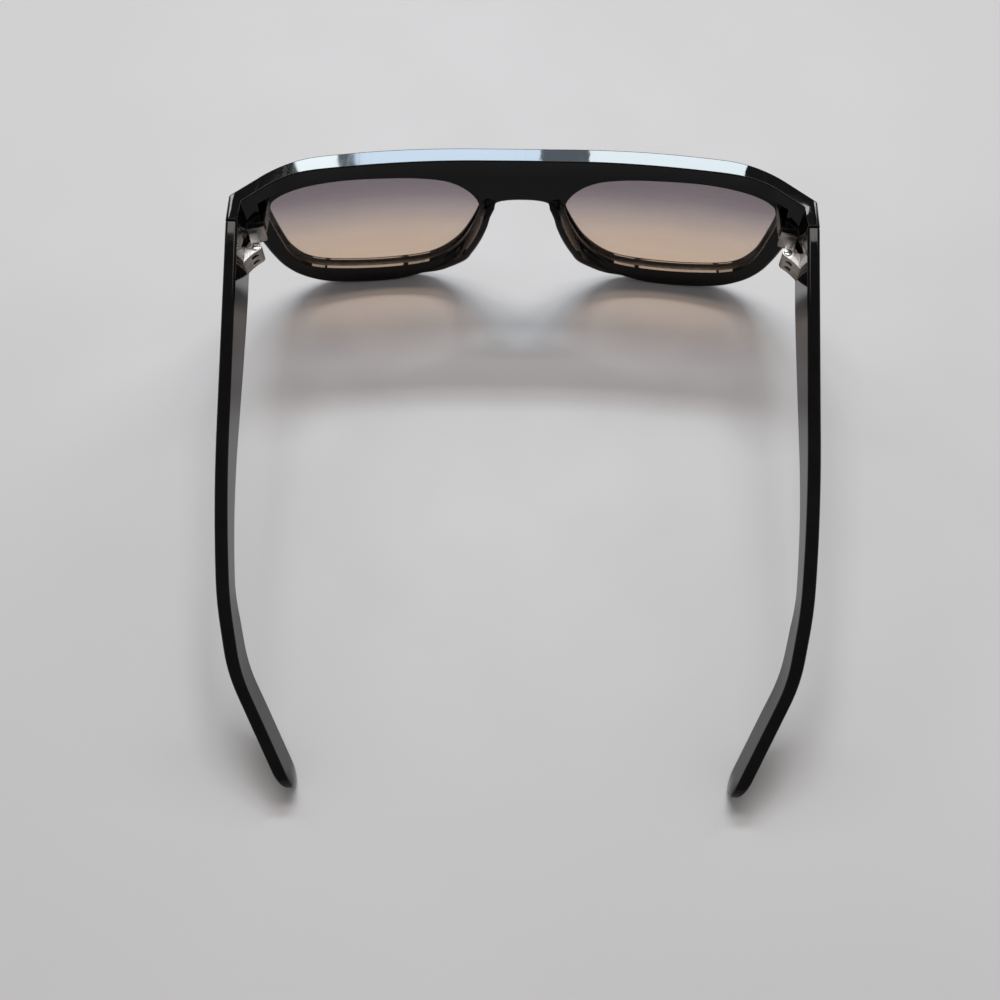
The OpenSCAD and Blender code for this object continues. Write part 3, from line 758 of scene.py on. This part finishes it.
def pad_section():
    """Section of a pad, u towards the lens and v back from the rim: nose side, crest, hollow flank."""
    crest = np.array([PAD_CREST_R - PAD_FOOT_R, PAD_REACH - PAD_CREST_R])
    side = crest[0] + PAD_CREST_R
    points = [(-PAD_FOOT_R, v) for v in np.linspace(-PAD_ROOT, crest[1], PAD_SIDE_STEPS)]
    for a in np.linspace(math.pi, 0, PAD_CREST_STEPS)[1:]:
        points.append(tuple(crest + PAD_CREST_R * np.array([math.cos(a), math.sin(a)])))
    for t in np.linspace(1, 0, PAD_FLANK_STEPS)[1:]:
        points.append((side + (PAD_FOOT_R - side) * (1 - t) ** 2, crest[1] * t))
    points.append((PAD_FOOT_R, -PAD_ROOT))
    points = np.array(points)
    run = np.gradient(points, axis=0)
    return points, np.stack([-run[:, 1], run[:, 0]], 1)


def pad_ring(foot, lensward, rise):
    """Section of a pad over a foot on the rim, where it has a share of its full rise."""
    wide = PAD_NARROW + (1 - PAD_NARROW) * smooth(ramp(rise, 0, PAD_WIDE_RISE))
    points, normals = [], []
    for (u, v), (u_normal, v_normal) in zip(*pad_section()):
        x, z = foot + u * wide * lensward
        points.append([x, float(plan_y(x)) + FRONT_T + (v * rise if v > 0 else v), z])
        across = u_normal / wide * lensward
        normals.append([across[0], v_normal / max(rise, PAD_LEAST_RISE), across[1]])
    return np.array(points), unit(np.array(normals))


def nose_pad(side):
    """Nose pad of solid acetate, a ridge along the nasal rim that fades out at both ends."""
    rim = rim_line()
    first = (PAD_FROM + len(RIM_CORNER)) * RIM_STEPS
    rings = []
    for i, rise in enumerate(open_curve(PAD_RISE, RIM_STEPS, PAD_RISE[-1])):
        v = rim[first + i + 1] - rim[first + i - 1]
        lensward = np.array([v[1], -v[0]]) / np.linalg.norm(v)
        foot = rim[first + i] + (PAD_FOOT_R + PAD_MARGIN) * lensward
        rings.append(pad_ring(foot, lensward, rise))
    rings = [(points, unit(normals)) for points, normals in squared(rings)]
    shell = Shell()
    swept_skin(shell, rings, (1, 0, 0), (-1, 0, 0))
    return shell.built(f"nose_pad_ridge_{side}", side)


# Hinges and screws


def cleaned(node, name):
    """Copy of a node's mesh, with its points welded and its flat faces whole."""
    mesh = bmesh.new()
    mesh.from_mesh(frame["nodes"][node].data)
    bmesh.ops.remove_doubles(mesh, verts=mesh.verts, dist=METAL_WELD * MM)
    bmesh.ops.dissolve_limit(mesh, angle_limit=METAL_FLAT_A, verts=mesh.verts, edges=mesh.edges)
    data = bpy.data.meshes.new(name)
    mesh.to_mesh(data)
    mesh.free()
    data.polygons.foreach_set("use_smooth", [True] * len(data.polygons))
    return data


def softened(node, name):
    """The node's solid with small bevels along its edges."""
    data = cleaned(node, name)
    piece = bpy.data.objects.new(name, data)
    bpy.context.scene.collection.objects.link(piece)
    bevel = piece.modifiers.new("bevel", "BEVEL")
    bevel.width = METAL_EDGE_R * MM
    bevel.segments = METAL_EDGE_SEGMENTS
    bevel.limit_method = "ANGLE"
    bevel.angle_limit = METAL_EDGE_A
    bevel.harden_normals = True
    bpy.context.view_layer.update()
    done = bpy.data.meshes.new_from_object(piece.evaluated_get(bpy.context.evaluated_depsgraph_get()))
    piece.modifiers.clear()
    piece.data = done
    bpy.data.meshes.remove(data)
    return piece


# Materials

# Share of a noise's scale along the line of its brush marks, hair scratches and drawing marks
BRUSHED = 0.1
SCRATCHED = 0.04
DRAWN = 0.05

# Colours of each material, from its darkest to its palest
ACETATE_TONES = ((0.001, 0.001, 0.0012), (0.003, 0.0027, 0.0032))
NICKEL_TONES = ((0.30, 0.28, 0.26), (0.44, 0.415, 0.39))
SCREW_TONES = ((0.38, 0.37, 0.355), (0.56, 0.55, 0.53))
WIRE_TONES = ((0.40, 0.41, 0.43), (0.58, 0.59, 0.61))
# The lens edge's dark tones are painted shade for the groove that the edge sits in
GROOVE_SHADE_TONES = ((0.02, 0.016, 0.014), (0.045, 0.036, 0.03))
FLOOR_TONES = ((0.575, 0.56, 0.56), (0.63, 0.613, 0.613))

# Tint of the lens at shares of the height between two heights in the frame, in metres
TINT_Z = (0.008, 0.041)
TINT = [
    (0.0, (0.918, 0.793, 0.69)),
    (0.4, (0.858, 0.767, 0.696)),
    (0.65, (0.7, 0.642, 0.63)),
    (0.85, (0.532, 0.486, 0.506)),
    (1.0, (0.494, 0.452, 0.475)),
]

# Gloss of the lens: the share that it mirrors head on, and how steeply that grows to the side
HEAD_ON_GLOSS = 0.04
GLOSS_POWER = 5


class Nodes:
    """A material's node tree, with short calls for what the materials here need."""

    def __init__(self, name):
        self.material = bpy.data.materials.new(name)
        self.material.use_nodes = True
        self.tree = self.material.node_tree
        self.shader = self.tree.nodes["Principled BSDF"]
        self.coords = self.tree.nodes.new("ShaderNodeTexCoord").outputs["Object"]

    def link(self, a, b):
        """Joins an output to an input."""
        self.tree.links.new(a, b)

    def feed(self, socket, value):
        """Joins an output to a socket of the shader."""
        self.link(value, self.shader.inputs[socket])

    def stretched(self, scale):
        """The object's coordinates, scaled along each axis."""
        node = self.tree.nodes.new("ShaderNodeMapping")
        node.inputs["Scale"].default_value = scale
        self.link(self.coords, node.inputs["Vector"])
        return node.outputs["Vector"]

    def noise(self, scale, detail=2.0, stretch=(1, 1, 1)):
        """Noise over the object's coordinates."""
        node = self.tree.nodes.new("ShaderNodeTexNoise")
        node.inputs["Scale"].default_value = scale
        node.inputs["Detail"].default_value = detail
        self.link(self.stretched(stretch), node.inputs["Vector"])
        return node.outputs["Fac"]

    def ranged(self, value, low, high, start=0.3, end=0.7):
        """Maps value from start..end to low..high."""
        node = self.tree.nodes.new("ShaderNodeMapRange")
        node.inputs["From Min"].default_value = start
        node.inputs["From Max"].default_value = end
        node.inputs["To Min"].default_value = low
        node.inputs["To Max"].default_value = high
        self.link(value, node.inputs["Value"])
        return node.outputs["Result"]

    def add(self, a, b):
        """Sum of two values."""
        node = self.tree.nodes.new("ShaderNodeMath")
        node.operation = "ADD"
        self.link(a, node.inputs[0])
        self.link(b, node.inputs[1])
        return node.outputs["Value"]

    def ramp(self, value, stops, interpolation="EASE"):
        """Colour at a value, from stops of places and colours."""
        node = self.tree.nodes.new("ShaderNodeValToRGB")
        band = node.color_ramp
        band.interpolation = interpolation
        for _ in stops[2:]:
            band.elements.new(0.5)
        for element, (place, colour) in zip(band.elements, stops):
            element.position = place
            element.color = (*colour, 1)
        self.link(value, node.inputs["Fac"])
        return node.outputs["Color"]

    def tones(self, value, tones, start=0.3, end=0.7):
        """Colour at a value, from the darkest tone at start to the palest at end."""
        return self.ramp(value, list(zip((start, end), tones)))

    def bump(self, value, distance, strength):
        """Normal of a bumped surface, with the bumps' height in metres."""
        node = self.tree.nodes.new("ShaderNodeBump")
        node.inputs["Strength"].default_value = strength
        node.inputs["Distance"].default_value = distance
        self.link(value, node.inputs["Height"])
        return node.outputs["Normal"]


def acetate():
    """Polished black acetate: faint depth in the black, buffing haze, handling smudges, hair scratches."""
    m = Nodes("acetate_black")
    m.feed("Base Color", m.tones(m.noise(scale=180, detail=4), ACETATE_TONES))
    smudge = m.ranged(m.noise(scale=75, detail=3), low=0.012, high=0.05, start=0.42, end=0.68)
    hairs = m.noise(scale=900, detail=3, stretch=(1, SCRATCHED, 1))
    scratch = m.ranged(hairs, low=0.0, high=0.03, start=0.55, end=0.75)
    m.feed("Roughness", m.add(smudge, scratch))
    m.feed("Normal", m.bump(m.noise(scale=140, detail=2), distance=0.00002, strength=0.6))
    m.shader.inputs["IOR"].default_value = 1.48
    m.shader.inputs["Specular IOR Level"].default_value = 0.22
    return m.material


def metal(name, tones, rough, scale, stretch):
    """Metal with a brushed finish, between two roughnesses, darker where it has dulled."""
    m = Nodes(name)
    m.shader.inputs["Metallic"].default_value = 1
    m.feed("Base Color", m.tones(m.noise(scale=260, detail=4), tones, start=0.35, end=0.65))
    brushed = m.noise(scale, detail=3, stretch=stretch)
    m.feed("Roughness", m.ranged(brushed, low=rough[0], high=rough[1]))
    m.feed("Normal", m.bump(brushed, distance=0.00001, strength=0.5))
    return m.material


def nickel():
    """Plated hinge leaves, brushed from front to back."""
    return metal("hinge_nickel", NICKEL_TONES, rough=(0.38, 0.5), scale=2600, stretch=(1, BRUSHED, 1))


def screw_steel():
    """Steel of the screws, with fine marks along their axis."""
    return metal("screw_steel", SCREW_TONES, rough=(0.2, 0.34), scale=3000, stretch=(1, 1, BRUSHED))


def wire_steel():
    """Drawn core wires, marked along their length."""
    return metal("wire_steel", WIRE_TONES, rough=(0.25, 0.42), scale=2400, stretch=(1, DRAWN, 1))


def lens_tint():
    """Gradient tint: mauve grey at the brow down to amber, with a clear gloss over it."""
    m = Nodes("lens_gradient")
    nodes = m.tree.nodes
    split = nodes.new("ShaderNodeSeparateXYZ")
    m.link(m.coords, split.inputs["Vector"])
    height = m.ranged(split.outputs["Z"], low=0, high=1, start=TINT_Z[0], end=TINT_Z[1])
    uneven = m.ranged(m.noise(scale=40, detail=2), low=-0.02, high=0.02)
    clear = nodes.new("ShaderNodeBsdfTransparent")
    m.link(m.ramp(m.add(height, uneven), TINT, "LINEAR"), clear.inputs["Color"])
    gloss = nodes.new("ShaderNodeBsdfGlossy")
    haze = m.ranged(m.noise(scale=120, detail=3), low=0.015, high=0.06, start=0.4, end=0.7)
    m.link(haze, gloss.inputs["Roughness"])
    grazing = nodes.new("ShaderNodeLayerWeight")
    grazing.inputs["Blend"].default_value = 0.5
    power = nodes.new("ShaderNodeMath")
    power.operation = "POWER"
    power.inputs[1].default_value = GLOSS_POWER
    m.link(grazing.outputs["Facing"], power.inputs[0])
    mix = nodes.new("ShaderNodeMixShader")
    share = m.ranged(power.outputs["Value"], low=HEAD_ON_GLOSS, high=1, start=0, end=1)
    m.link(share, mix.inputs["Fac"])
    m.link(clear.outputs["BSDF"], mix.inputs[1])
    m.link(gloss.outputs["BSDF"], mix.inputs[2])
    m.link(mix.outputs["Shader"], nodes["Material Output"].inputs["Surface"])
    nodes.remove(m.shader)
    return m.material


def ground_edge_groove_shade():
    """Matte ground edge of a lens, coloured dark all over as painted shade for the groove that it sits in.
    """
    m = Nodes("lens_edge_groove_shade")
    m.feed("Base Color", m.tones(m.noise(scale=300, detail=3), GROOVE_SHADE_TONES))
    m.feed("Roughness", m.ranged(m.noise(scale=500, detail=2), low=0.5, high=0.7))
    return m.material


def floor_paint():
    """Plain pale floor with a very faint unevenness."""
    m = Nodes("floor_paint")
    m.feed("Base Color", m.tones(m.noise(scale=3, detail=3), FLOOR_TONES))
    m.feed("Roughness", m.ranged(m.noise(scale=30, detail=3), low=0.5, high=0.6))
    return m.material


# The set, in metres

FLOOR_HALF = 1.6

# The photograph's view: from above and behind, over the open temples
CAMERA_AT = (-0.00265229, 0.14644252, 0.2826491)
CAMERA_PITCH = 1.08974
CAMERA_YAW = 0.0484
CAMERA_ROLL = -0.02628
CAMERA_LENS = 43.754
CAMERA_SENSOR = 36
CAMERA_NEAR = 0.01

# Upright panels stand ahead of the front: name, ends in x, radiance and colour of each upper one
PANEL_Y = -0.9
UPPER_Z = 1.07
UPPER_H = 0.13
UPPER_PANELS = [
    ("window_left", 0.250, 0.306, 39.5, (0.886, 0.968, 1.0)),
    ("window_middle", -0.012, 0.226, 35, (0.685, 0.837, 1.0)),
    ("window_right", -0.279, -0.075, 37, (0.853, 0.954, 1.0)),
]

# A dim panel behind them shows in the gaps between them
DIM_ENDS = (-0.282, 0.309)
DIM_RADIANCE = 5
DIM_COLOUR = (0.7, 0.85, 1.0)
DIM_BEHIND = 0.02

# Bands for the rims to mirror: a level one in the middle, and one at each side, lower further out
WHITE = (1.0, 0.98, 0.96)
BAND_H = 0.1
BAND_Z = 1.2
BAND_END = 0.375
BAND_RADIANCE = 24
SIDE_BAND_Z = 0.95
SIDE_BAND_ENDS = (0.364, 0.966)
SIDE_BAND_RADIANCE = 18
SIDE_BAND_ROLL = 0.669

# The key, and the even light from all round
KEY_AT = (0, -0.6, 1.35)
KEY_TARGET = (0, 0, 0.03)
KEY_SIZE = (1.1, 0.3)
KEY_POWER = 7
AMBIENT_COLOUR = (0.88, 0.87, 0.87)
AMBIENT_STRENGTH = 0.3


def floor():
    """Plain floor at the height where the sunglasses stand."""
    half = FLOOR_HALF
    mesh = bpy.data.meshes.new("floor")
    corners = [(-half, -half, 0), (half, -half, 0), (half, half, 0), (-half, half, 0)]
    mesh.from_pydata(corners, [], [(0, 1, 2, 3)])
    plane = bpy.data.objects.new("floor", mesh)
    bpy.context.scene.collection.objects.link(plane)
    mesh.materials.append(floor_paint())


def camera():
    """Camera at the photograph's viewing angle, turned by yaw, then pitch, then roll."""
    level = math.cos(CAMERA_PITCH)
    forward = Vector(
        (math.sin(CAMERA_YAW) * level, -math.cos(CAMERA_YAW) * level, -math.sin(CAMERA_PITCH))
    )
    right = forward.cross(Vector((0, 0, 1))).normalized()
    up = right.cross(forward)
    roll_cos, roll_sin = math.cos(CAMERA_ROLL), math.sin(CAMERA_ROLL)
    turn = Matrix((roll_cos * right + roll_sin * up, roll_cos * up - roll_sin * right, -forward))
    data = bpy.data.cameras.new("camera")
    data.lens = CAMERA_LENS
    data.sensor_width = CAMERA_SENSOR
    data.clip_start = CAMERA_NEAR
    eye = bpy.data.objects.new("camera", data)
    eye.matrix_world = Matrix.Translation(CAMERA_AT) @ turn.transposed().to_4x4()
    bpy.context.scene.collection.objects.link(eye)
    bpy.context.scene.camera = eye


def softbox(name, place, target, width, height, power, colour, roll=0.0):
    """Rectangular lamp at a place, aimed at a target and rolled about its aim."""
    data = bpy.data.lights.new(name, "AREA")
    data.shape = "RECTANGLE"
    data.size, data.size_y = width, height
    data.energy = power
    data.color = colour
    lamp = bpy.data.objects.new(name, data)
    lamp.location = place
    aim = (Vector(target) - Vector(place)).to_track_quat("-Z", "Y").to_matrix()
    lamp.rotation_euler = (aim @ Matrix.Rotation(roll, 3, "Z")).to_euler()
    bpy.context.scene.collection.objects.link(lamp)


def panel(name, x0, x1, z, high, radiance, colour, behind=0.0, roll=0.0):
    """Upright light ahead of the front, from x0 to x1 before its roll, facing back over it."""
    place = ((x0 + x1) / 2, PANEL_Y - behind, z)
    power = radiance * math.pi * (x1 - x0) * high
    softbox(name, place, (place[0], 0, z), x1 - x0, high, power, colour, roll)


def lights():
    """Upper panels for the brow's top to mirror, bands for the rims, a key above and even light."""
    for name, x0, x1, radiance, colour in UPPER_PANELS:
        panel(name, x0, x1, UPPER_Z, UPPER_H, radiance, colour)
    panel("window_frame", *DIM_ENDS, UPPER_Z, UPPER_H, DIM_RADIANCE, DIM_COLOUR, behind=DIM_BEHIND)
    panel("band_middle", -BAND_END, BAND_END, BAND_Z, BAND_H, BAND_RADIANCE, WHITE)
    near, far = SIDE_BAND_ENDS
    for name, x0, x1, roll in (
        ("band_left", near, far, -SIDE_BAND_ROLL),
        ("band_right", -far, -near, SIDE_BAND_ROLL),
    ):
        panel(name, x0, x1, SIDE_BAND_Z, BAND_H, SIDE_BAND_RADIANCE, WHITE, roll=roll)
    softbox("key", KEY_AT, KEY_TARGET, *KEY_SIZE, KEY_POWER, WHITE)
    world = bpy.data.worlds.new("studio")
    world.use_nodes = True
    background = world.node_tree.nodes["Background"]
    background.inputs["Color"].default_value = (*AMBIENT_COLOUR, 1)
    background.inputs["Strength"].default_value = AMBIENT_STRENGTH
    bpy.context.scene.world = world


# The whole


def assign(piece, material):
    """Gives a piece its one material."""
    piece.data.materials.clear()
    piece.data.materials.append(material)


def edged(piece, material):
    """Gives the wall of a lens, the last faces of its mesh, a material of its own."""
    piece.data.materials.append(material)
    faces = piece.data.polygons
    for face in faces[len(faces) - len(eye_loop()) :]:
        face.material_index = 1


def stands_for(piece, body, node):
    """Gives a piece its body, and hides the node that it replaces."""
    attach(piece, body)
    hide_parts(node)


def carried_over(names, material):
    """CAD nodes whose shape stays, with a better material."""
    for name in names:
        piece = frame["nodes"][name]
        for slot in piece.material_slots:
            slot.material = material


def acetate_pieces(side, black):
    """Nose pad and temple of one side."""
    pad = nose_pad(side)
    assign(pad, black)
    stands_for(pad, "front", f"nose_pad_{side}")
    arm = temple(side)
    assign(arm, black)
    stands_for(arm, f"temple_arm_{side}", f"temple_{side}")


def lens_piece(side, tint, ground):
    """Lens of one side, with its ground edge."""
    piece = lens(side)
    assign(piece, tint)
    edged(piece, ground)
    stands_for(piece, "front", f"lens_{side}")


def metal_pieces(side, leaf, screw):
    """Both leaves of one side's hinge, and its screw."""
    for node, name, body, material in (
        (f"front_hinge_{side}", f"front_leaf_{side}", "front", leaf),
        (f"temple_hinge_{side}", f"temple_leaf_{side}", f"temple_arm_{side}", leaf),
        (f"hinge_screw_{side}", f"slotted_screw_{side}", f"temple_arm_{side}", screw),
    ):
        piece = softened(node, name)
        assign(piece, material)
        stands_for(piece, body, node)


def main():
    """Sets the stage, then makes and dresses every piece."""
    bpy.context.scene.view_settings.view_transform = "Standard"
    camera()
    floor()
    lights()
    # ground is the lens edges' matte material, whose dark colour is painted groove shade
    black, tint, ground = acetate(), lens_tint(), ground_edge_groove_shade()
    leaf, screw, wire = nickel(), screw_steel(), wire_steel()

    front = front_frame()
    assign(front, black)
    stands_for(front, "front", "front_frame")
    for side in SIDES:
        lens_piece(side, tint, ground)
        acetate_pieces(side, black)
        metal_pieces(side, leaf, screw)
    carried_over([f"core_wire_{side}" for side in SIDES], wire)


main()
bpy.context.view_layer.update()
